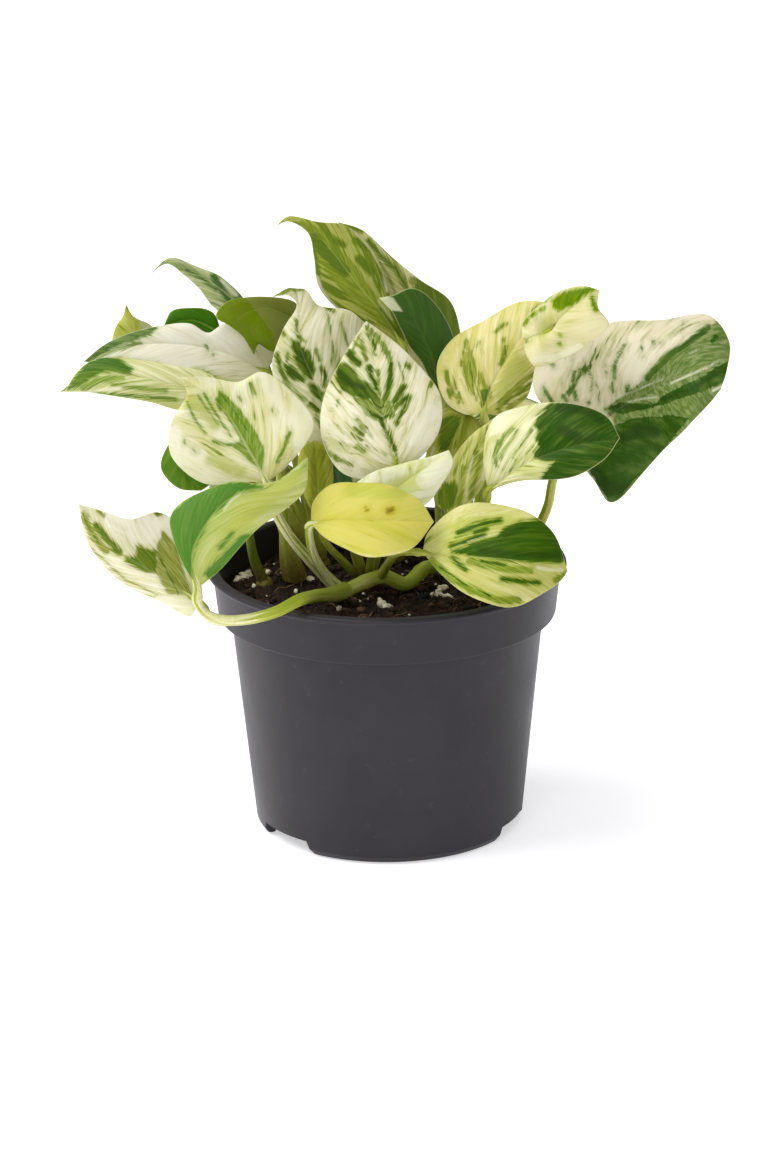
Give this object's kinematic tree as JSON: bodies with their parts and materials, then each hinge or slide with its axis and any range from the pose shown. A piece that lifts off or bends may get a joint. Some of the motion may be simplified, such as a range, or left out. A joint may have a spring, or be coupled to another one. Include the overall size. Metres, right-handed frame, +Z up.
{
  "type": "potted pothos plant",
  "caption": "Bushy variegated trailing houseplant with marbled heart-shaped leaves, growing in a round tapered plastic nursery pot filled with soil.",
  "frame": {"origin": "on the ground, on the pot's axis", "axes": "+Z up, the front of the plant faces -Y, +X to the right seen from the front"},
  "size_m": [0.2221, 0.14, 0.2043],
  "materials": {
    "pot_plastic": "satin",
    "potting_soil": "matte",
    "stem": "satin",
    "leaf_cream": "satin",
    "leaf_mottled": "satin",
    "leaf_green": "satin",
    "leaf_olive": "satin",
    "leaf_yellow": "satin"
  },
  "bodies": {
    "root": {"pot": "pot_plastic", "soil": "potting_soil", "stem_runner": "stem", "stem_left_pair": "stem", "stem_left_thin": "stem", "stem_centre": "stem", "stem_right": "stem", "stem_far_right": "stem", "stem_back": "stem", "stem_back_left": "stem", "stem_back_right": "stem", "leaf_top": "leaf_mottled", "leaf_top_back": "leaf_cream", "leaf_dark": "leaf_green", "leaf_drip": "leaf_mottled", "leaf_spike": "leaf_mottled", "leaf_dome": "leaf_green", "leaf_olive": "leaf_olive", "leaf_left_upper": "leaf_cream", "leaf_left_lower": "leaf_mottled", "leaf_back_left": "leaf_cream", "leaf_centre": "leaf_cream", "leaf_front_left": "leaf_cream", "leaf_low_green": "leaf_green", "leaf_striped": "leaf_mottled", "leaf_cup": "leaf_cream", "leaf_yellow": "leaf_yellow", "leaf_white": "leaf_cream", "leaf_right_front": "leaf_mottled", "leaf_right_mid": "leaf_green", "leaf_streaked": "leaf_olive", "leaf_cream_right": "leaf_cream", "leaf_hanging": "leaf_olive", "leaf_small_cup": "leaf_cream", "leaf_big_right": "leaf_mottled", "leaf_fill_olive": "leaf_olive", "leaf_fill_dark": "leaf_green", "leaf_back_long_left": "leaf_mottled", "leaf_back_mid_left": "leaf_cream", "leaf_back_right": "leaf_mottled", "leaf_back_high": "leaf_green", "leaf_back_low": "leaf_cream", "leaf_back_rim_left": "leaf_green", "leaf_back_rim_right": "leaf_mottled"}
  },
  "joints": []
}
